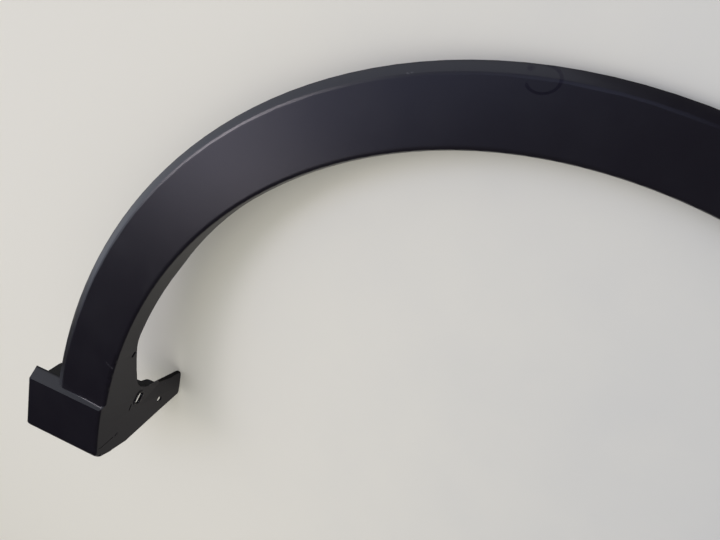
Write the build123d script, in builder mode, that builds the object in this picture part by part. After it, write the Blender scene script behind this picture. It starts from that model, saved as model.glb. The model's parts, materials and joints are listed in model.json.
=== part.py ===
from build123d import *
from math import cos, radians, sin, sqrt, tan
import os

# A wheel arch trim, moulded in one piece.
# It is drawn in the arch frame: the origin is the centre of the wheel opening, X runs along the car towards
# the plain end, Y is up on the car, Z points outboard, and z = 0 is the body panel that the rim lies against.
# Levels are Y, depths are measured inboard from z = 0, and all sizes are in millimetres and degrees.

# Moulding
wall = 2.8
edge_chamfer = 0.8
tolerance = 0.01

# Band between the rim and the wheel opening
opening_radius = 374.0
band_width = 56.0
rim_shift_x = -16.1
rim_shift_y = 3.3
face_height = 3.5
strip_width = 9.0
crease_round = 6.0
lip_round = 4.0

# Return flange round the opening, shallow over the crown
lip_depth = 6.0
deepening_level = 300.0
deep_level = 225.0
flange_depth = 19.5
flange_end_level = 130.0
flange_bend = 60.0
heel_round = 22.0

# Fixing tail at the sill end
tail_depth = 114.0
tail_top = 60.5
tail_root_top = 57.0
tail_root_depth = 43.5
tail_tip_bottom = 26.5
tail_tip_round = 9.0
tail_root_bottom = -2.8
tail_root_back = 33.5
tail_corner_round = 3.0

# Raised foot at the sill end
foot_width = 105.4
foot_top = 55.2
foot_top_fall = 2.4
foot_bottom = -5.7
foot_height = 9.0
foot_drop = 6.0
foot_draft = 29.0
foot_roll = 8.0
foot_flare = 2.5
foot_corner_round = 10.0
foot_corner_break = 8.0

# Plain end
end_level = 30.0
end_flange_depth = 55.0
end_flange_level = 80.0
end_rise_level = 160.0
end_wall_depth = 10.0

# Heel wall behind the foot's ledge, stepped deeper beside the tail
heel_lean = 5.5
heel_depth = 62.5
heel_step = 9.5
heel_step_reach = 14.0
heel_inset = 10.4
heel_flare = 15.0
heel_deep_level = 36.0

# Flat of the tail, set back from the round wall, and the bevel along its top
tail_set_back = 1.6
tail_flat_level = 36.0
tail_flat_run = 18.0
tail_crease_rise = 1.38
tail_crease_depth = 49.5
bevel_start = (10.0, -80.0)
bevel_end = (18.0, -110.0)
bevel_width = 20.0
bevel_angle = 9.0

# Holes and slots for clips and screws, as level and depth on the wall
screw_hole = 7.0
screw_hole_level = 31.0
screw_hole_from_tip = 32.8
clip_slot_place = (46.8, -46.3)
clip_slot_length = 14.0
clip_slot_width = 6.5
clip_slot_turn = -25.0
collar_width = 2.0
collar_height = 0.8
rib_slit_place = (39.0, -35.3)
rib_slit_length = 8.4
rib_slit_turn = -16.0
seam_slit_place = (11.9, -18.9)
seam_slit_length = 5.0
seam_slit_turn = -50.0
slit_width = 1.4
flange_slot_place = (112.6, -20.8)
flange_slot_length = 7.3
flange_slot_width = 3.0
flange_slot_turn = -18.0

# Seam line low on the foot's wall
seam_width = 0.9
seam_level = 5.0
seam_end = (10.6, -15.0)

# Clip towers on the back of the band
tower_count = 6
tower_first_angle = 30.0
tower_angle_range = 120.0
tower_inset = 21.0
tower_length = 26.0
tower_width = 18.0
tower_depth = 14.0
tower_wall = 2.0
tower_neck = 6.5
tower_hole = 10.0

rim_radius = opening_radius + band_width
tower_radius = opening_radius + tower_inset
foot_left = -opening_radius - foot_width
heel_left = foot_left + heel_inset
heel_step_depth = heel_depth + heel_step
heel_deep_left = heel_left - heel_flare
rim_centre = (rim_shift_x, rim_shift_y, 0)
rim_axis = Axis(rim_centre, (0, 0, 1))
rim_section = Plane(origin=rim_centre, x_dir=(1, 0, 0), z_dir=(0, -1, 0))
section_start = opening_radius - 2 * abs(rim_shift_x)
crease = (rim_radius - strip_width, face_height)
underside = face_height - wall
cut_depth = 2 * tail_depth


def is_lip_edge(edge):
    """Tell the sharp edge between the band's face and the opening from the other round edges."""
    on_opening = abs(edge.radius - opening_radius) < tolerance
    return on_opening and abs(edge.arc_center.Z - face_height) < tolerance


# Band and return flange, turned as one ring and then cut to their side views
with BuildPart() as band:
    with BuildSketch(rim_section) as band_section:
        with BuildLine():
            Polyline((section_start, face_height), crease, (rim_radius, 0))
            offset(amount=wall, side=Side.RIGHT, kind=Kind.INTERSECTION)
        make_face()
        fillet(band_section.vertices().sort_by_distance((*crease, 0))[0], crease_round)
    revolve(axis=rim_axis)
    with BuildSketch(Plane.XY.offset(face_height)):
        Circle(opening_radius)
    extrude(amount=-cut_depth, mode=Mode.SUBTRACT)
    with BuildSketch(Plane.XY.offset(face_height - wall / 2)):
        Circle(opening_radius + wall)
        Circle(opening_radius, mode=Mode.SUBTRACT)
    extrude(amount=-cut_depth)
    fillet(band.edges().filter_by(GeomType.CIRCLE).filter_by(is_lip_edge), lip_round)

    with BuildSketch(Plane.YZ):
        with BuildLine():
            FilletPolyline(
                (rim_radius, -lip_depth),
                (deepening_level, -lip_depth),
                (deep_level, -flange_depth),
                (flange_end_level, -flange_depth),
                (tail_root_top, -tail_root_depth),
                (tail_top, -tail_depth),
                (tail_tip_bottom, -tail_depth),
                (tail_root_bottom, -tail_root_back),
                (foot_bottom, -foot_roll),
                (-rim_radius, -foot_roll),
                (-rim_radius, -cut_depth),
                (rim_radius, -cut_depth),
                radius=[
                    0,
                    flange_bend,
                    flange_bend,
                    flange_bend,
                    heel_round,
                    tail_tip_round,
                    tail_corner_round,
                    tail_corner_round,
                    foot_roll,
                    0,
                    0,
                    0,
                ],
                close=True,
            )
        make_face()
    extrude(amount=-rim_radius, mode=Mode.SUBTRACT)
    with BuildSketch(Plane.YZ):
        with BuildLine():
            FilletPolyline(
                (rim_radius, -lip_depth),
                (deepening_level, -lip_depth),
                (end_rise_level, -flange_depth),
                (end_flange_level, -end_flange_depth),
                (end_level, -end_flange_depth),
                (end_level, -end_wall_depth),
                (-rim_radius, -end_wall_depth),
                (-rim_radius, -cut_depth),
                (rim_radius, -cut_depth),
                radius=[0, flange_bend, flange_bend, heel_round, tail_tip_round, 0, 0, 0, 0],
                close=True,
            )
        make_face()
    extrude(amount=rim_radius, mode=Mode.SUBTRACT)
    with BuildSketch(Plane.XY.offset(-cut_depth)):
        with Locations((0, foot_bottom)):
            Rectangle(2 * rim_radius, 2 * rim_radius, align=(Align.MAX, Align.MAX))
        with Locations((0, end_level)):
            Rectangle(2 * rim_radius, 2 * rim_radius, align=(Align.MIN, Align.MAX))
    extrude(amount=2 * cut_depth, mode=Mode.SUBTRACT)

# Wall that closes the plain end, under the same section as the band
with BuildPart() as end_wall:
    with BuildSketch(rim_section):
        with BuildLine():
            FilletPolyline(
                (section_start, face_height - wall / 2),
                (rim_radius - strip_width, face_height - wall / 2),
                (rim_radius - wall / 2, -wall / 2),
                (rim_radius - wall / 2, -end_wall_depth),
                (section_start, -end_wall_depth),
                radius=[0, crease_round, 0, lip_round, 0],
                close=True,
            )
        make_face()
    revolve(axis=rim_axis)
    with BuildSketch(Plane.XY.offset(-end_wall_depth)):
        with Locations((0, end_level)):
            Rectangle(2 * rim_radius, wall, align=(Align.MIN, Align.MIN))
        Circle(opening_radius + wall / 2, mode=Mode.SUBTRACT)
    extrude(amount=2 * end_wall_depth, mode=Mode.INTERSECT)


def wall_cut(start, end, inset, base_level):
    """Solid outside one drafted wall of the foot, whose top edge runs from start to end in the front view."""
    run = Vector(end) - Vector(start)
    face = foot_height - inset
    setback = inset / cos(radians(foot_draft))
    face_reach = inset * tan(radians(foot_draft)) - setback
    base_reach = (foot_height - base_level) * tan(radians(foot_draft)) - setback
    far_reach = base_reach + opening_radius
    draft_run = edge_chamfer * sin(radians(foot_draft))
    draft_fall = edge_chamfer * cos(radians(foot_draft))
    with BuildPart() as outside:
        with BuildSketch(Plane(origin=start, x_dir=(-run.Y, run.X, 0), z_dir=run)):
            with BuildLine():
                Polyline(
                    (face_reach - edge_chamfer, face),
                    (face_reach + draft_run, face - draft_fall),
                    (base_reach, base_level),
                    (far_reach, base_level),
                    (far_reach, face + edge_chamfer),
                    (face_reach - edge_chamfer, face + edge_chamfer),
                    close=True,
                )
            make_face()
        extrude(amount=opening_radius, both=True)
    return outside.part


def foot_form(inset, base_level):
    """Solid of the raised foot, its walls moved in by inset, from base_level up to its face."""
    face = foot_height - inset
    bottom = foot_bottom + inset
    corner = (foot_left, foot_top)
    ledge_cut = wall_cut(corner, (-opening_radius, foot_top - foot_top_fall), inset, base_level)
    left_cut = wall_cut((foot_left - foot_flare, foot_bottom), corner, inset, base_level)
    # The bottom left corner is rounded along the drafted line where its two walls meet, with a slight break
    corner_centre = foot_corner_round * cos(radians(foot_corner_break))
    corner_plane = Plane(
        origin=(foot_left - foot_flare, foot_bottom, foot_height),
        x_dir=(cos(radians(foot_draft)), 0, -sin(radians(foot_draft))),
        z_dir=(sin(radians(foot_draft)), 0, cos(radians(foot_draft))),
    )
    with BuildPart() as form:
        with BuildSketch(Plane.YZ):
            with BuildLine():
                FilletPolyline(
                    (bottom, base_level),
                    (bottom, face),
                    (2 * foot_top, face),
                    (2 * foot_top, base_level),
                    radius=[0, foot_roll - inset, 0, 0],
                    close=True,
                )
            make_face()
        extrude(amount=-opening_radius - rim_radius)
        with BuildSketch(Plane.XY.offset(base_level)):
            Circle(opening_radius + inset)
        extrude(amount=face - base_level, mode=Mode.SUBTRACT)
        if inset == 0:
            fillet(form.edges().sort_by_distance((-opening_radius, foot_top / 2, face))[0], lip_round)
        add(ledge_cut, mode=Mode.SUBTRACT)
        add(left_cut, mode=Mode.SUBTRACT)
        with BuildSketch(corner_plane):
            Rectangle(2 * corner_centre, 2 * corner_centre, align=Align.CENTER)
            with Locations((corner_centre, corner_centre)):
                Circle(foot_corner_round - inset, mode=Mode.SUBTRACT)
        extrude(amount=foot_width / 2, both=True, mode=Mode.SUBTRACT)
    return form.part


foot_outside = foot_form(0, -foot_drop)
foot_hollow = foot_form(wall, -2 * foot_drop)

# Heel wall: its front view cut out of a leaning plate
with BuildPart() as heel_wall:
    wall_x = -sqrt(opening_radius**2 - tail_root_top**2) - wall / 2
    with BuildSketch(Plane.XZ):
        with BuildLine():
            FilletPolyline(
                (wall_x, -foot_drop + wall / 2),
                (heel_left, -foot_drop + wall / 2),
                (heel_deep_left, -heel_deep_level),
                (heel_left + heel_depth / 2, -heel_depth),
                (wall_x - heel_step_reach, -heel_depth),
                (wall_x - heel_step_reach, -heel_step_depth),
                (wall_x, -heel_step_depth),
                radius=[0, 0, tail_tip_round, tail_tip_round, 0, tail_corner_round, 0],
                close=True,
            )
        make_face()
    extrude(amount=-opening_radius)
    with BuildSketch(Plane.YZ):
        with BuildLine():
            Polyline(
                (tail_root_top + heel_lean, 0),
                (tail_root_top + heel_lean - wall, 0),
                (tail_root_top - wall, -heel_step_depth),
                (tail_root_top, -heel_step_depth),
                close=True,
            )
        make_face()
    extrude(amount=2 * foot_left, mode=Mode.INTERSECT)

# Raised collar of the clip slot, on the wheel side of the wall
with BuildPart() as slot_collar:
    with BuildSketch(Plane.YZ):
        with Locations(clip_slot_place):
            SlotOverall(
                clip_slot_length + 2 * collar_width,
                clip_slot_width + 2 * collar_width,
                rotation=clip_slot_turn,
            )
    extrude(amount=-rim_radius)
    with BuildSketch(Plane.XY):
        Circle(opening_radius + wall / 2)
        Circle(opening_radius - collar_height, mode=Mode.SUBTRACT)
    extrude(amount=-tail_depth, mode=Mode.INTERSECT)

# Seam groove, as deep as it is wide
with BuildPart() as seam:
    with BuildSketch(Plane.YZ):
        with BuildLine():
            FilletPolyline(
                (seam_level, foot_height - lip_round - seam_width),
                (seam_level, 0),
                seam_end,
                radius=foot_roll,
            )
        trace(line_width=seam_width)
    extrude(amount=-rim_radius)
    with BuildSketch(Plane.XY.offset(foot_height)):
        Circle(opening_radius + seam_width)
    extrude(amount=-tail_depth, mode=Mode.INTERSECT)

# Tower that takes one push clip: two side walls and a floor with a keyhole
with BuildPart() as clip_tower:
    with BuildSketch(Plane.XY.offset(underside + wall / 2)):
        Rectangle(tower_width, tower_length)
    extrude(amount=-tower_depth - wall / 2)
    with BuildSketch(Plane.XY.offset(underside + wall / 2)):
        Rectangle(2 * tower_width, tower_length - 2 * tower_wall)
    extrude(amount=-tower_depth - wall / 2 + tower_wall, mode=Mode.SUBTRACT)
    with BuildSketch(Plane.XY.offset(underside)):
        Circle(tower_hole / 2)
        with Locations((tower_width / 2, 0)):
            Rectangle(tower_width, tower_neck)
    extrude(amount=-2 * tower_depth, mode=Mode.SUBTRACT)

tail_flat_x = -sqrt(opening_radius**2 - tail_flat_level**2)
tail_top_x = -sqrt(opening_radius**2 - tail_root_top**2) - tail_set_back
tail_plane = Plane(
    origin=(tail_flat_x, tail_flat_level, 0),
    x_dir=(tail_top_x - tail_flat_x, tail_root_top - tail_flat_level, 0),
    z_dir=(tail_root_top - tail_flat_level, tail_flat_x - tail_top_x, 0),
)
bevel_origin = tail_plane.from_local_coords((*bevel_start, 0))
bevel_run = tail_plane.from_local_coords((*bevel_end, 0)) - bevel_origin
bevel_base = Plane(origin=bevel_origin, x_dir=bevel_run, z_dir=tail_plane.z_dir)
bevel_plane = bevel_base.rotated((bevel_angle, 0, 0))
wall_plane = Plane.YZ.offset(-opening_radius - 2 * wall)

with BuildPart() as trim:
    add(band.part)
    add(end_wall.part)
    add(foot_outside)
    add(foot_hollow, mode=Mode.SUBTRACT)
    add(heel_wall.part)
    with PolarLocations(tower_radius, tower_count, tower_first_angle, tower_angle_range, endpoint=True):
        add(clip_tower.part)

    # Flat and bevel of the tail
    with BuildSketch(tail_plane):
        with BuildLine():
            Polyline(
                (-tail_flat_run, -tail_crease_depth + tail_flat_run * tail_crease_rise),
                (tail_top, -tail_crease_depth - tail_top * tail_crease_rise),
                (tail_top, -cut_depth),
                (-tail_flat_run, -cut_depth),
                close=True,
            )
        make_face()
    extrude(amount=wall, mode=Mode.SUBTRACT)
    with BuildSketch(bevel_plane):
        Rectangle(tail_depth, bevel_width, align=(Align.MIN, Align.MIN))
    extrude(amount=2 * wall, mode=Mode.SUBTRACT)

    # Seam, collar and holes of the wall
    add(seam.part, mode=Mode.SUBTRACT)
    add(slot_collar.part)
    with BuildSketch(wall_plane):
        with Locations((screw_hole_level, -tail_depth + screw_hole_from_tip)):
            Circle(screw_hole / 2)
        with Locations(clip_slot_place):
            SlotOverall(clip_slot_length, clip_slot_width, rotation=clip_slot_turn)
        with Locations(rib_slit_place):
            SlotOverall(rib_slit_length, slit_width, rotation=rib_slit_turn)
        with Locations(seam_slit_place):
            SlotOverall(seam_slit_length, slit_width, rotation=seam_slit_turn)
        with Locations(flange_slot_place):
            SlotOverall(flange_slot_length, flange_slot_width, rotation=flange_slot_turn)
    extrude(amount=opening_radius, mode=Mode.SUBTRACT)

# The trim lies face up on the tail's tip, the corner of the plain end's flange and one clip tower
rest_tower_angle = radians(tower_first_angle + 2 * tower_angle_range / (tower_count - 1))
tower_corner_out = tower_radius + tower_width / 2
tail_rest_level = tail_top - tail_tip_round
tail_rest = Vector(
    -sqrt((opening_radius + wall / 2) ** 2 - tail_rest_level**2),
    tail_rest_level,
    -tail_depth,
)
end_rest = Vector(
    sqrt((opening_radius + wall) ** 2 - end_flange_level**2),
    end_flange_level,
    -end_flange_depth,
)
tower_rest = Vector(
    tower_corner_out * cos(rest_tower_angle) + tower_length / 2 * sin(rest_tower_angle),
    tower_corner_out * sin(rest_tower_angle) - tower_length / 2 * cos(rest_tower_angle),
    underside - tower_depth,
)
floor_normal = (end_rest - tail_rest).cross(tower_rest - tail_rest).normalized()
along_car = Vector(1, 0, 0)
floor_plane = Plane(
    origin=tail_rest,
    x_dir=along_car - floor_normal * along_car.dot(floor_normal),
    z_dir=floor_normal,
)
laid_down = floor_plane.to_local_coords(trim.part)
laid_box = laid_down.bounding_box()

with BuildPart() as wheel_arch_trim:
    with Locations((-laid_box.center().X, -laid_box.center().Y, -laid_box.min.Z)):
        add(laid_down)

os.makedirs("parts", exist_ok=True)
wheel_arch_trim.part.label = "wheel_arch_trim"
export_step(wheel_arch_trim.part, "parts/wheel_arch_trim.step")
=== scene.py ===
import json
from math import atan2, cos, hypot, pi, radians, sin

import bpy
from bpy.props import FloatProperty, FloatVectorProperty, PointerProperty
from bpy.types import Operator, Panel, PropertyGroup
from mathutils import Matrix, Vector

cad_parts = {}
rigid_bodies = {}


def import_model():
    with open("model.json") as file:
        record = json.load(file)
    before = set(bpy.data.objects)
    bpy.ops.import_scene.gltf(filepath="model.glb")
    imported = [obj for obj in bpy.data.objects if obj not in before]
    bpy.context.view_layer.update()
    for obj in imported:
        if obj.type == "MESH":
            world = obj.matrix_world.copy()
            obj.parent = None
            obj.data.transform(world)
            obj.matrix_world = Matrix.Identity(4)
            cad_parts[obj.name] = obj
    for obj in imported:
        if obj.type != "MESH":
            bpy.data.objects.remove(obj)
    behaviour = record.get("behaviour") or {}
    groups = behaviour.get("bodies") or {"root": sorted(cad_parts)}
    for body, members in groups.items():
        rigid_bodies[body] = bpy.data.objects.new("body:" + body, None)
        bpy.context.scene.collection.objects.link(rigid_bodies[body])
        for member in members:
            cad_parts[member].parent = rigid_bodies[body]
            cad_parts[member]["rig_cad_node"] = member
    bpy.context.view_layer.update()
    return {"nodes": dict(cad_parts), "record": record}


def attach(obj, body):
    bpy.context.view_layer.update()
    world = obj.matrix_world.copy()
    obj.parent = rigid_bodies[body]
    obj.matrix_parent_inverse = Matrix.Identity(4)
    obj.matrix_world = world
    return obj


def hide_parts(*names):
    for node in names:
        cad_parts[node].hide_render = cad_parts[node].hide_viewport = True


bl_info = {
    "name": "Wheel Arch Trim",
    "version": (1, 0, 0),
    "blender": (4, 5, 0),
    "location": "View3D > Sidebar > Arch Trim",
    "description": "Finishes the moulded wheel arch trim and lays it on a pale studio floor",
    "category": "Object",
}

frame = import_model()

TRIM_NODE = "wheel_arch_trim"
TRIM_BODY = "root"

# Tests on the mesh: a corner's distance from a round in metres, and cosines of the angle between normals
NEAR = 0.00005
ALIKE = 0.995
LEVEL = 0.9998
QUARTER_TURN = pi / 2

# Detail and roughness of each noise, and the two levels between which its patches fade in
SMUDGE_NOISE = (6.0, 0.6)
SMUDGE_FADE = (0.38, 0.66)
FINE_NOISE = (3.0, 0.6)
STREAK_FADE = (0.35, 0.60)
MOTTLE_NOISE = (5.0, 0.5)

# Where the ring's line fades in beside its gap, as shares of its radius in the gap's direction
RING_GAP_FADE = (0.75, 0.30)

# How far the mottling shifts the floor's painted fall-off of light, in metres, and how matt the floor is
MOTTLE_SHIFT = 0.2
FLOOR_ROUGHNESS = 0.9

LAMPS = {
    "key": "small lamp that lights up the crease",
    "glow": "small high lamp over the shoulder",
    "window": "broad low lamp along the rim's strip",
    "sky": "high cool lamp over the crown",
    "fill": "broad overhead lamp for the floor",
}
# Lamps that show in the gloss alone, and lamps that never show in it
GLOSS_LAMPS = ("key", "window")
MATT_LAMPS = ("fill",)


class MouldingSettings(PropertyGroup):
    """How the moulding's mesh is cleaned and shaded."""

    merge_distance: FloatProperty(
        name="Merge distance",
        description="Corners closer than this become one",
        default=0.00001,
        precision=6,
        unit="LENGTH",
    )
    flat_angle: FloatProperty(
        name="Flat angle",
        description="Faces that meet at less than this angle are one flat face",
        default=radians(0.2),
        subtype="ANGLE",
    )
    smooth_angle: FloatProperty(
        name="Smooth angle",
        description="Faces that meet at less than this angle are shaded as one surface",
        default=radians(35),
        subtype="ANGLE",
    )
    flat_width: FloatProperty(
        name="Flat width",
        description="A face at least this wide is shaded flat, and its narrow neighbours blend into it",
        default=0.010,
        unit="LENGTH",
    )
    opening_centre: FloatVectorProperty(
        name="Opening centre",
        description="Middle of the wheel opening, at the level of the body panel",
        default=(0.038753, -0.208010, 0.095318),
        subtype="XYZ",
        unit="LENGTH",
    )
    opening_radius: FloatProperty(
        name="Opening radius",
        description="Radius of the wheel opening",
        default=0.374,
        unit="LENGTH",
    )
    wall: FloatProperty(
        name="Wall",
        description="Thickness of the moulding",
        default=0.0028,
        precision=5,
        unit="LENGTH",
    )
    lip_round: FloatProperty(
        name="Lip round",
        description="Radius of the rounded edge round the wheel opening",
        default=0.004,
        precision=5,
        unit="LENGTH",
    )
    lip_tightness: FloatProperty(
        name="Lip tightness",
        description="How far the face's shade reaches round the lip, where 1 is evenly round",
        default=2.2,
    )
    face_levels: FloatVectorProperty(
        name="Face levels",
        description="How far the band's face and the foot's face stand out from the body panel",
        size=2,
        default=(0.0035, 0.009),
        precision=5,
        unit="LENGTH",
    )
    rim_centre: FloatVectorProperty(
        name="Rim centre",
        description="Middle of the rim's arc, at the level of the body panel",
        default=(0.022648, -0.204771, 0.095821),
        subtype="XYZ",
        unit="LENGTH",
    )
    crease_radius: FloatProperty(
        name="Crease radius",
        description="Radius of the arc along which the crease is rounded",
        default=0.419875,
        precision=6,
        unit="LENGTH",
    )
    crease_round: FloatProperty(
        name="Crease round",
        description="Radius of the crease itself",
        default=0.006,
        precision=5,
        unit="LENGTH",
    )
    crease_slope: FloatProperty(
        name="Crease slope",
        description="Angle between the band's face and the rim's strip",
        default=radians(21.25),
        subtype="ANGLE",
    )
    crease_spread: FloatProperty(
        name="Crease spread",
        description="Share of that angle over which the crease's shade runs",
        default=0.25,
        subtype="FACTOR",
    )
    chamfer_width: FloatProperty(
        name="Chamfer width",
        description="A strip narrower than this, beside a broad face, is shaded with that face",
        default=0.0016,
        precision=5,
        unit="LENGTH",
    )


class PlasticSettings(PropertyGroup):
    """Colours, grain and marks of the satin black plastic."""

    colour: FloatVectorProperty(
        name="Colour",
        description="Colour of the clean plastic",
        default=(0.0080, 0.0067, 0.0103),
        subtype="COLOR",
    )
    dull_colour: FloatVectorProperty(
        name="Dull colour",
        description="Colour of the plastic where handling has dulled it",
        default=(0.0087, 0.0075, 0.0110),
        subtype="COLOR",
    )
    stain_colour: FloatVectorProperty(
        name="Stain colour",
        description="Colour of the dried ring stain",
        default=(0.0055, 0.0045, 0.0078),
        subtype="COLOR",
    )
    stain_tint: FloatVectorProperty(
        name="Stain tint",
        description="How much of the gloss is left under the dried film of the stain",
        default=(0.60, 0.58, 0.66),
        subtype="COLOR",
    )
    scuff_colour: FloatVectorProperty(
        name="Scuff colour",
        description="Colour of the pale rubbed marks",
        default=(0.045, 0.044, 0.050),
        subtype="COLOR",
    )
    roughness: FloatProperty(
        name="Roughness",
        description="Roughness of the clean plastic",
        default=0.29,
        subtype="FACTOR",
    )
    dull_roughness: FloatProperty(
        name="Dull roughness",
        description="Roughness of the dulled plastic",
        default=0.32,
        subtype="FACTOR",
    )
    stain_roughness: FloatProperty(
        name="Stain roughness",
        description="Roughness of the ring stain",
        default=0.24,
        subtype="FACTOR",
    )
    specular: FloatProperty(
        name="Specular",
        description="Strength of the grained plastic's gloss",
        default=0.25,
        subtype="FACTOR",
    )
    # Painted shade: the back's colour is darker than the front's, standing in for the shade in the
    # recesses behind the opening
    back_shade_colour: FloatVectorProperty(
        name="Back colour",
        description="Colour of the dull back of the moulding",
        default=(0.0035, 0.0032, 0.0040),
        subtype="COLOR",
    )
    back_roughness: FloatProperty(
        name="Back roughness",
        description="Roughness of the dull back of the moulding",
        default=0.95,
        subtype="FACTOR",
    )
    smudge_size: FloatProperty(
        name="Smudge size",
        description="Width of the dulled patches",
        default=0.045,
        unit="LENGTH",
    )
    grain_size: FloatProperty(
        name="Grain size",
        description="Width of one bump of the moulded grain",
        default=0.0007,
        precision=5,
        unit="LENGTH",
    )
    grain_height: FloatProperty(
        name="Grain height",
        description="Height of the moulded grain",
        default=0.00002,
        precision=6,
        unit="LENGTH",
    )
    ring_centre: FloatVectorProperty(
        name="Ring centre",
        description="Middle of the ring stain near the rim",
        default=(0.0359, 0.2078, 0.0168),
        subtype="XYZ",
        unit="LENGTH",
    )
    ring_radii: FloatVectorProperty(
        name="Ring radii",
        description="Half widths of the ring stain",
        default=(0.0112, 0.0086, 0.0200),
        subtype="XYZ",
        unit="LENGTH",
    )
    ring_line: FloatProperty(
        name="Ring line",
        description="Half width of the ring's line, as a share of its radius",
        default=0.19,
        subtype="FACTOR",
    )
    ring_gap: FloatVectorProperty(
        name="Ring gap",
        description="Direction from the ring's middle in which its line is missing",
        default=(-0.79, 0.60, 0.13),
        subtype="DIRECTION",
    )
    blot: FloatVectorProperty(
        name="Blot",
        description="Middle of the small dark blot in the ring's gap",
        default=(0.0261, 0.2141, 0.0144),
        subtype="XYZ",
        unit="LENGTH",
    )
    blot_size: FloatProperty(
        name="Blot size",
        description="Half width of the small dark blot",
        default=0.0042,
        precision=5,
        unit="LENGTH",
    )
    scuff_start: FloatVectorProperty(
        name="Scuff start",
        description="Upper end of the pale scuff low on the band",
        default=(-0.3300, -0.1015, 0.1041),
        subtype="XYZ",
        unit="LENGTH",
    )
    scuff_end: FloatVectorProperty(
        name="Scuff end",
        description="Lower end of the pale scuff low on the band",
        default=(-0.3225, -0.1063, 0.1033),
        subtype="XYZ",
        unit="LENGTH",
    )
    tick_start: FloatVectorProperty(
        name="Tick start",
        description="One end of the short pale tick on the crease",
        default=(-0.0576, 0.2036, 0.0242),
        subtype="XYZ",
        unit="LENGTH",
    )
    tick_end: FloatVectorProperty(
        name="Tick end",
        description="Other end of the short pale tick on the crease",
        default=(-0.0536, 0.2042, 0.0238),
        subtype="XYZ",
        unit="LENGTH",
    )
    scuff_width: FloatProperty(
        name="Scuff width",
        description="Half width of the scuff and the tick",
        default=0.0013,
        precision=5,
        unit="LENGTH",
    )


def lamp_azimuth(lamp, degrees):
    """Setting for the direction of a lamp."""
    return FloatProperty(
        name=f"{lamp.capitalize()} azimuth",
        description=f"Direction of the {LAMPS[lamp]}, from +X towards +Y",
        default=radians(degrees),
        subtype="ANGLE",
    )


def lamp_elevation(lamp, degrees):
    """Setting for the height of a lamp in the sky."""
    return FloatProperty(
        name=f"{lamp.capitalize()} elevation",
        description=f"Height above the horizon of the {LAMPS[lamp]}",
        default=radians(degrees),
        subtype="ANGLE",
    )


def lamp_distance(lamp, metres):
    """Setting for the distance of a lamp."""
    return FloatProperty(
        name=f"{lamp.capitalize()} distance",
        description=f"Distance of the {LAMPS[lamp]}",
        default=metres,
        unit="LENGTH",
    )


def lamp_size(lamp, width, height):
    """Setting for the width and height of a lamp."""
    return FloatVectorProperty(
        name=f"{lamp.capitalize()} size",
        description=f"Width and height of the {LAMPS[lamp]}",
        size=2,
        default=(width, height),
        unit="LENGTH",
    )


def lamp_power(lamp, watts):
    """Setting for the power of a lamp."""
    return FloatProperty(
        name=f"{lamp.capitalize()} power",
        description=f"Power of the {LAMPS[lamp]}",
        default=watts,
        unit="POWER",
    )


def lamp_colour(lamp, colour):
    """Setting for the colour of a lamp."""
    return FloatVectorProperty(
        name=f"{lamp.capitalize()} colour",
        description=f"Colour of the {LAMPS[lamp]}",
        default=colour,
        subtype="COLOR",
    )


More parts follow.
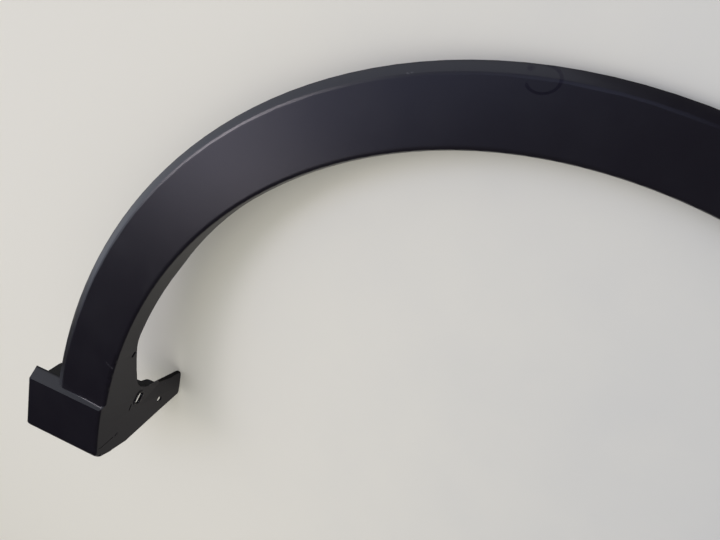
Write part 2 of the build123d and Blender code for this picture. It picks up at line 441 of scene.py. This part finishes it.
class StageSettings(PropertyGroup):
    """Floor, lamps and camera."""

    floor_size: FloatProperty(
        name="Floor size",
        description="Width of the floor",
        default=16.0,
        unit="LENGTH",
    )
    # Painted light and shade: the floor is coloured lighter and warmer on the foot's side and darker and
    # bluer on the plain end's side, standing in for light that falls off away from the foot's side
    floor_lit_colour: FloatVectorProperty(
        name="Floor colour",
        description="Colour of the floor on the foot's side",
        default=(0.68, 0.655, 0.585),
        subtype="COLOR",
    )
    floor_shaded_colour: FloatVectorProperty(
        name="Floor shade",
        description="Colour of the floor on the plain end's side",
        default=(0.50, 0.505, 0.51),
        subtype="COLOR",
    )
    # Span of the painted fall-off of light along the floor
    floor_fade: FloatVectorProperty(
        name="Floor fade",
        description="Where along X the floor's colour starts and ends its change",
        size=2,
        default=(-0.20, 0.70),
        unit="LENGTH",
    )
    mottle_size: FloatProperty(
        name="Mottle size",
        description="Width of the floor's faint patches",
        default=0.09,
        unit="LENGTH",
    )
    lamp_aim: FloatVectorProperty(
        name="Lamp aim",
        description="Point that all the lamps face",
        default=(-0.1, 0.03, 0.05),
        subtype="XYZ",
        unit="LENGTH",
    )
    key_azimuth: lamp_azimuth("key", 153)
    key_elevation: lamp_elevation("key", 37.5)
    key_distance: lamp_distance("key", 2.2)
    key_size: lamp_size("key", 0.85, 0.40)
    key_power: lamp_power("key", 18.5)
    key_colour: lamp_colour("key", (1.0, 0.91, 0.97))
    glow_azimuth: lamp_azimuth("glow", 171)
    glow_elevation: lamp_elevation("glow", 58)
    glow_distance: lamp_distance("glow", 2.2)
    glow_size: lamp_size("glow", 0.45, 0.6)
    glow_power: lamp_power("glow", 3.7)
    glow_colour: lamp_colour("glow", (1.0, 0.91, 0.97))
    window_azimuth: lamp_azimuth("window", 138)
    window_elevation: lamp_elevation("window", 22)
    window_distance: lamp_distance("window", 2.2)
    window_size: lamp_size("window", 5.4, 1.8)
    window_power: lamp_power("window", 56.0)
    window_colour: lamp_colour("window", (0.80, 0.86, 1.0))
    sky_azimuth: lamp_azimuth("sky", 120)
    sky_elevation: lamp_elevation("sky", 57)
    sky_distance: lamp_distance("sky", 2.2)
    sky_size: lamp_size("sky", 3.1, 0.78)
    sky_power: lamp_power("sky", 13.0)
    sky_colour: lamp_colour("sky", (0.55, 0.62, 1.0))
    fill_azimuth: lamp_azimuth("fill", 265)
    fill_elevation: lamp_elevation("fill", 86)
    fill_distance: lamp_distance("fill", 2.4)
    fill_size: lamp_size("fill", 3.4, 3.4)
    fill_power: lamp_power("fill", 16.0)
    fill_colour: lamp_colour("fill", (1.0, 1.0, 0.97))
    room_colour: FloatVectorProperty(
        name="Room colour",
        description="Even light from all round, which doesn't show in the gloss",
        default=(0.70, 0.70, 0.685),
        subtype="COLOR",
    )
    backdrop_colour: FloatVectorProperty(
        name="Backdrop colour",
        description="What the camera sees past the floor",
        default=(0.52, 0.515, 0.505),
        subtype="COLOR",
    )
    camera_place: FloatVectorProperty(
        name="Camera place",
        description="Where the camera is",
        default=(0.1152, 0.2253, 0.3981),
        subtype="XYZ",
        unit="LENGTH",
    )
    camera_aim: FloatVectorProperty(
        name="Camera aim",
        description="Point of the floor in the middle of the picture",
        default=(-0.09696, 0.03112, 0.0),
        subtype="XYZ",
        unit="LENGTH",
    )
    camera_roll: FloatProperty(
        name="Camera roll",
        description="Turn of the camera about its line of sight",
        default=radians(-122.35),
        subtype="ANGLE",
    )
    camera_lens: FloatProperty(
        name="Camera lens",
        description="Focal length on a 36 mm sensor",
        default=27.05,
    )


def outward():
    """Direction in which the band faces, opposite to the one in which its clips push."""
    return -Vector(frame["record"]["mounts"][0]["axis"])


def deselect_all():
    """Leave nothing selected."""
    bpy.ops.object.select_all(action="DESELECT")


def add_node(tree, kind, inputs=None, **settings):
    """Add a shader node, set its plain settings, and link or set its inputs by name or number."""
    node = tree.nodes.new(kind)
    for name, value in settings.items():
        setattr(node, name, value)
    for name, value in (inputs or {}).items():
        if isinstance(value, bpy.types.NodeSocket):
            tree.links.new(value, node.inputs[name])
        else:
            node.inputs[name].default_value = value
    return node


def new_material(name):
    """A node material with a Principled shader, as its tree, its shader and its object coordinates."""
    material = bpy.data.materials.new(name)
    material.use_nodes = True
    tree = material.node_tree
    shader = tree.nodes["Principled BSDF"]
    place = add_node(tree, "ShaderNodeTexCoord").outputs["Object"]
    return material, tree, shader, place


def noise(tree, place, size, detail, roughness):
    """Noise whose patches are about this wide."""
    node = add_node(
        tree,
        "ShaderNodeTexNoise",
        {"Vector": place, "Scale": 1 / size, "Detail": detail, "Roughness": roughness},
    )
    return node.outputs["Fac"]


def fade(tree, value, start, end):
    """A mask that goes smoothly from 0 at start to 1 at end."""
    node = add_node(
        tree,
        "ShaderNodeMapRange",
        {"Value": value, "From Min": start, "From Max": end},
        interpolation_type="SMOOTHSTEP",
    )
    return node.outputs["Result"]


def product(tree, first, second):
    """Two masks, multiplied."""
    return add_node(tree, "ShaderNodeMath", {0: first, 1: second}, operation="MULTIPLY").outputs[0]


def mix_colour(tree, mask, first, second):
    """First colour where the mask is 0, second colour where it is 1."""
    ends = [end if isinstance(end, bpy.types.NodeSocket) else (*end, 1) for end in (first, second)]
    # The colours of a Mix node are its inputs 6 and 7 and its output 2
    node = add_node(tree, "ShaderNodeMix", {0: mask, 6: ends[0], 7: ends[1]}, data_type="RGBA")
    return node.outputs[2]


def mix_value(tree, mask, first, second):
    """First value where the mask is 0, second value where it is 1."""
    # The values of a Mix node are its inputs 2 and 3 and its output 0
    node = add_node(tree, "ShaderNodeMix", {0: mask, 2: first, 3: second}, data_type="FLOAT")
    return node.outputs[0]


def vector_math(tree, operation, first, second, output="Vector"):
    """Result of a vector operation on two vectors."""
    node = add_node(tree, "ShaderNodeVectorMath", {0: first, 1: second}, operation=operation)
    return node.outputs[output]


def ring_mask(tree, place, settings):
    """Broken ring where a wet round foot stood."""
    away = vector_math(tree, "SUBTRACT", place, settings.ring_centre)
    share = vector_math(tree, "DIVIDE", away, settings.ring_radii)
    radius = vector_math(tree, "DISTANCE", share, (0, 0, 0), "Value")
    off_line = add_node(tree, "ShaderNodeMath", {0: radius, 1: 1.0}, operation="SUBTRACT").outputs[0]
    distance = add_node(tree, "ShaderNodeMath", {0: off_line}, operation="ABSOLUTE").outputs[0]
    line = fade(tree, distance, settings.ring_line, 0.0)
    towards_gap = vector_math(tree, "DOT_PRODUCT", share, settings.ring_gap, "Value")
    kept = fade(tree, towards_gap, *RING_GAP_FADE)
    return product(tree, line, kept)


def blot_mask(tree, place, settings):
    """Small soft blot."""
    distance = vector_math(tree, "DISTANCE", place, settings.blot, "Value")
    return fade(tree, distance, settings.blot_size, 0.0)


def streak_mask(tree, place, start, end, half_width):
    """Soft broken streak from one point to another."""
    along = Vector(end) - Vector(start)
    away = vector_math(tree, "SUBTRACT", place, start)
    share = vector_math(tree, "DOT_PRODUCT", away, along / along.length_squared, "Value")
    clamped = add_node(tree, "ShaderNodeClamp", {"Value": share}).outputs[0]
    nearest = add_node(
        tree,
        "ShaderNodeVectorMath",
        {0: along, "Scale": clamped},
        operation="SCALE",
    ).outputs[0]
    distance = vector_math(tree, "DISTANCE", away, nearest, "Value")
    streak = fade(tree, distance, half_width, 0.0)
    patches = fade(tree, noise(tree, place, half_width, *FINE_NOISE), *STREAK_FADE)
    return product(tree, streak, patches)


def dull_and_shaded_back_mask(tree, place, moulding):
    """The dull back, also painted darker as painted shade: everything behind the wall round the opening
    and inboard of the body panel.
    """
    axis = outward()
    away = vector_math(tree, "SUBTRACT", place, moulding.opening_centre)
    level = vector_math(tree, "DOT_PRODUCT", away, axis, "Value")
    spoke = vector_math(tree, "CROSS_PRODUCT", away, axis)
    radius = vector_math(tree, "DISTANCE", spoke, (0, 0, 0), "Value")
    wall_middle = moulding.opening_radius + moulding.wall / 2
    behind = fade(tree, radius, wall_middle, wall_middle + NEAR)
    inboard = fade(tree, level, -moulding.wall, -2 * moulding.wall)
    return product(tree, behind, inboard)


def satin_plastic(settings, moulding):
    """Satin black plastic with a fine grain, dulled patches, a ring stain, scuffs, and a dull back
    painted darker as painted shade.
    """
    material, tree, shader, place = new_material("satin_plastic")
    smudges = fade(tree, noise(tree, place, settings.smudge_size, *SMUDGE_NOISE), *SMUDGE_FADE)
    stains = (ring_mask(tree, place, settings), blot_mask(tree, place, settings))
    scuffs = (
        streak_mask(tree, place, settings.scuff_start, settings.scuff_end, settings.scuff_width),
        streak_mask(tree, place, settings.tick_start, settings.tick_end, settings.scuff_width),
    )
    colour = mix_colour(tree, smudges, settings.colour, settings.dull_colour)
    roughness = mix_value(tree, smudges, settings.roughness, settings.dull_roughness)
    tint = (1, 1, 1)
    for stain in stains:
        colour = mix_colour(tree, stain, colour, settings.stain_colour)
        roughness = mix_value(tree, stain, roughness, settings.stain_roughness)
        tint = mix_colour(tree, stain, tint, settings.stain_tint)
    for scuff in scuffs:
        colour = mix_colour(tree, scuff, colour, settings.scuff_colour)
    # Painted shade: the back is rougher, and darker in colour to stand in for the shade in its recesses
    back = dull_and_shaded_back_mask(tree, place, moulding)
    colour = mix_colour(tree, back, colour, settings.back_shade_colour)
    roughness = mix_value(tree, back, roughness, settings.back_roughness)
    grain = noise(tree, place, settings.grain_size, *FINE_NOISE)
    bump = add_node(
        tree,
        "ShaderNodeBump",
        {"Height": grain, "Distance": settings.grain_height, "Strength": 1.0},
    )
    tree.links.new(colour, shader.inputs["Base Color"])
    tree.links.new(roughness, shader.inputs["Roughness"])
    tree.links.new(tint, shader.inputs["Specular Tint"])
    tree.links.new(bump.outputs["Normal"], shader.inputs["Normal"])
    shader.inputs["Specular IOR Level"].default_value = settings.specular
    return material


def floor_paint(settings):
    """Pale matt floor, painted darker and bluer along its length as painted shade where the light falls
    off, with a faint mottling.
    """
    material, tree, shader, place = new_material("floor_paint")
    along = add_node(tree, "ShaderNodeSeparateXYZ", {0: place}).outputs["X"]
    mottle = noise(tree, place, settings.mottle_size, *MOTTLE_NOISE)
    shifted = add_node(
        tree,
        "ShaderNodeMath",
        {0: mottle, 1: MOTTLE_SHIFT, 2: along},
        operation="MULTIPLY_ADD",
    ).outputs[0]
    # Painted shade: this mask darkens the floor and turns it bluer along X, standing in for the light
    # falling off
    cool = fade(tree, shifted, *settings.floor_fade)
    colour = mix_colour(tree, cool, settings.floor_lit_colour, settings.floor_shaded_colour)
    tree.links.new(colour, shader.inputs["Base Color"])
    shader.inputs["Roughness"].default_value = FLOOR_ROUGHNESS
    shader.inputs["Specular IOR Level"].default_value = 0.0
    return material


def wall_normals(places, flat, axis, settings):
    """True normals at the corners of a face on the opening's wall, or None for any other face."""
    centre = Vector(settings.opening_centre)
    spokes = [place - centre - (place - centre).dot(axis) * axis for place in places]
    for radius in (settings.opening_radius, settings.opening_radius + settings.wall):
        on_wall = all(abs(spoke.length - radius) < NEAR for spoke in spokes)
        if on_wall and abs(flat.dot(spokes[0].normalized())) > ALIKE:
            side = 1 if flat.dot(spokes[0]) > 0 else -1
            return [side * spoke.normalized() for spoke in spokes]
    return None


def round_corners(places, centre, axis, circle, level, radius):
    """Angle and spoke at each corner of a face on a circle's rounded edge, or None for other faces."""
    corners = []
    for place in places:
        height = (place - centre).dot(axis)
        spoke = place - centre - height * axis
        out, up = spoke.length - circle, height - level
        if abs(hypot(out, up) - radius) > NEAR:
            return None
        corners.append((atan2(out, up), spoke.normalized()))
    return corners


def tilted(axis, turns, corners):
    """Normals at the corners of a rounded edge, each turned from the axis by its own angle."""
    return [spoke * sin(turn) + axis * cos(turn) for turn, (angle, spoke) in zip(turns, corners)]


def edge_normals(places, axis, settings):
    """Normals at the corners of a face on the lip or on the crease, or None for any other face."""
    centre = Vector(settings.opening_centre)
    middle = settings.opening_radius + settings.lip_round
    for level in settings.face_levels:
        lip = round_corners(places, centre, axis, middle, level - settings.lip_round, settings.lip_round)
        if lip:
            shares = [abs(angle / QUARTER_TURN) ** settings.lip_tightness for angle, spoke in lip]
            return tilted(axis, [-QUARTER_TURN * share for share in shares], lip)
    level = settings.face_levels[0] - settings.crease_round
    centre = Vector(settings.rim_centre)
    crease = round_corners(places, centre, axis, settings.crease_radius, level, settings.crease_round)
    if crease:
        half = settings.crease_slope / 2
        turns = [half + (angle - half) * settings.crease_spread for angle, spoke in crease]
        return tilted(axis, turns, crease)
    return None


def face_width(mesh, face):
    """About how wide a long face is."""
    places = [mesh.vertices[vertex].co for vertex in face.vertices]
    return 2 * face.area / sum((a - b).length for a, b in zip(places, places[1:] + places[:1]))


def shade_moulding(piece, settings):
    """Shade the wall, lip and crease as rounds, broad faces flat, and chamfers with their face."""
    axis = outward()
    mesh = piece.data
    normals = [Vector(corner.vector) for corner in mesh.corner_normals]
    widths = [face_width(mesh, face) for face in mesh.polygons]
    broad = {
        edge: face.normal.copy()
        for face, width in zip(mesh.polygons, widths)
        for edge in face.edge_keys
        if width > settings.flat_width
    }
    for face, width in zip(mesh.polygons, widths):
        places = [mesh.vertices[vertex].co for vertex in face.vertices]
        shaded = wall_normals(places, face.normal, axis, settings)
        shaded = shaded or edge_normals(places, axis, settings)
        if not shaded and (width > settings.flat_width or face.normal.dot(axis) > LEVEL):
            shaded = [face.normal.copy() for place in places]
        elif not shaded and width < settings.chamfer_width:
            sides = [broad[edge] for edge in face.edge_keys if edge in broad]
            beside = [side for side in sides if side.angle(face.normal) < settings.smooth_angle]
            shaded = [beside[0] for place in places] if beside else None
        for corner, normal in zip(face.loop_indices, shaded or ()):
            normals[corner] = normal
    mesh.normals_split_custom_set(normals)


class ARCHTRIM_OT_moulding(Operator):
    """Clean and shade the moulding, and give it its plastic"""

    bl_idname = "arch_trim.moulding"
    bl_label = "Moulding"

    def execute(self, context):
        settings = context.scene.arch_trim_moulding
        solid = frame["nodes"][TRIM_NODE]
        deselect_all()
        solid.select_set(True)
        context.view_layer.objects.active = solid
        bpy.ops.object.duplicate()
        piece = context.active_object
        piece.name = "trim_moulding"
        piece.data.name = piece.name
        del piece["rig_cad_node"]
        bpy.ops.object.mode_set(mode="EDIT")
        bpy.ops.mesh.select_all(action="SELECT")
        bpy.ops.mesh.remove_doubles(threshold=settings.merge_distance)
        bpy.ops.mesh.dissolve_limited(angle_limit=settings.flat_angle)
        bpy.ops.object.mode_set(mode="OBJECT")
        bpy.ops.object.shade_smooth_by_angle(angle=settings.smooth_angle)
        normals = piece.modifiers.new("face normals", "WEIGHTED_NORMAL")
        normals.keep_sharp = True
        bpy.ops.object.modifier_apply(modifier=normals.name)
        shade_moulding(piece, settings)
        piece.data.materials.clear()
        piece.data.materials.append(satin_plastic(context.scene.arch_trim_plastic, settings))
        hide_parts(TRIM_NODE)
        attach(piece, TRIM_BODY)
        return {"FINISHED"}


def direction(azimuth, elevation):
    """Unit vector towards a point of the sky."""
    return Vector((cos(azimuth) * cos(elevation), sin(azimuth) * cos(elevation), sin(elevation)))


def add_softbox(name, settings):
    """A soft rectangular lamp that faces the aim and that the camera doesn't see."""
    towards = direction(getattr(settings, f"{name}_azimuth"), getattr(settings, f"{name}_elevation"))
    place = Vector(settings.lamp_aim) + towards * getattr(settings, f"{name}_distance")
    bpy.ops.object.light_add(type="AREA", location=place)
    lamp = bpy.context.active_object
    lamp.name = name
    lamp.rotation_euler = towards.to_track_quat("Z", "Y").to_euler()
    lamp.data.shape = "RECTANGLE"
    lamp.data.size, lamp.data.size_y = getattr(settings, f"{name}_size")
    lamp.data.energy = getattr(settings, f"{name}_power")
    lamp.data.color = getattr(settings, f"{name}_colour")
    lamp.visible_camera = False
    lamp.visible_glossy = name not in MATT_LAMPS
    lamp.visible_diffuse = name not in GLOSS_LAMPS


def set_room(settings):
    """Even light from all round that stays out of the gloss, and a backdrop for the camera alone."""
    world = bpy.data.worlds.new("studio")
    bpy.context.scene.world = world
    world.use_nodes = True
    tree = world.node_tree
    room = tree.nodes["Background"]
    room.inputs["Color"].default_value = (*settings.room_colour, 1)
    backdrop = add_node(tree, "ShaderNodeBackground", {"Color": (*settings.backdrop_colour, 1)})
    seen = add_node(tree, "ShaderNodeLightPath").outputs["Is Camera Ray"]
    mixed = add_node(
        tree,
        "ShaderNodeMixShader",
        {0: seen, 1: room.outputs[0], 2: backdrop.outputs[0]},
    )
    tree.links.new(mixed.outputs[0], tree.nodes["World Output"].inputs["Surface"])
    world.cycles_visibility.glossy = False


class ARCHTRIM_OT_stage(Operator):
    """Lay the floor, hang the lamps and set the camera"""

    bl_idname = "arch_trim.stage"
    bl_label = "Stage"

    def execute(self, context):
        settings = context.scene.arch_trim_stage
        deselect_all()
        bpy.ops.mesh.primitive_plane_add(size=settings.floor_size)
        floor = context.active_object
        floor.name = "floor"
        floor.data.materials.append(floor_paint(settings))
        for lamp in LAMPS:
            add_softbox(lamp, settings)
        set_room(settings)
        place = Vector(settings.camera_place)
        sight = Vector(settings.camera_aim) - place
        turn = sight.to_track_quat("-Z", "Y").to_matrix() @ Matrix.Rotation(settings.camera_roll, 3, "Z")
        bpy.ops.object.camera_add(location=place, rotation=turn.to_euler())
        camera = context.active_object
        camera.data.lens = settings.camera_lens
        context.scene.camera = camera
        context.scene.view_settings.view_transform = "Standard"
        return {"FINISHED"}


class ARCHTRIM_PT_sidebar(Panel):
    """Lists the steps and their settings"""

    bl_idname = "ARCHTRIM_PT_sidebar"
    bl_label = "Wheel Arch Trim"
    bl_space_type = "VIEW_3D"
    bl_region_type = "UI"
    bl_category = "Arch Trim"

    def draw(self, context):
        layout = self.layout
        for step, groups in (
            (ARCHTRIM_OT_moulding, ("arch_trim_moulding", "arch_trim_plastic")),
            (ARCHTRIM_OT_stage, ("arch_trim_stage",)),
        ):
            layout.operator(step.bl_idname)
            for group in groups:
                settings = getattr(context.scene, group)
                for name in settings.bl_rna.properties.keys():
                    if name not in ("rna_type", "name"):
                        layout.prop(settings, name)


SETTINGS = {
    "arch_trim_moulding": MouldingSettings,
    "arch_trim_plastic": PlasticSettings,
    "arch_trim_stage": StageSettings,
}
CLASSES = (*SETTINGS.values(), ARCHTRIM_OT_moulding, ARCHTRIM_OT_stage, ARCHTRIM_PT_sidebar)


def register():
    for cls in CLASSES:
        bpy.utils.register_class(cls)
    for name, group in SETTINGS.items():
        setattr(bpy.types.Scene, name, PointerProperty(type=group))


def unregister():
    for name in SETTINGS:
        delattr(bpy.types.Scene, name)
    for cls in reversed(CLASSES):
        bpy.utils.unregister_class(cls)


def main():
    register()
    bpy.ops.arch_trim.moulding()
    bpy.ops.arch_trim.stage()


if __name__ == "__main__":
    main()
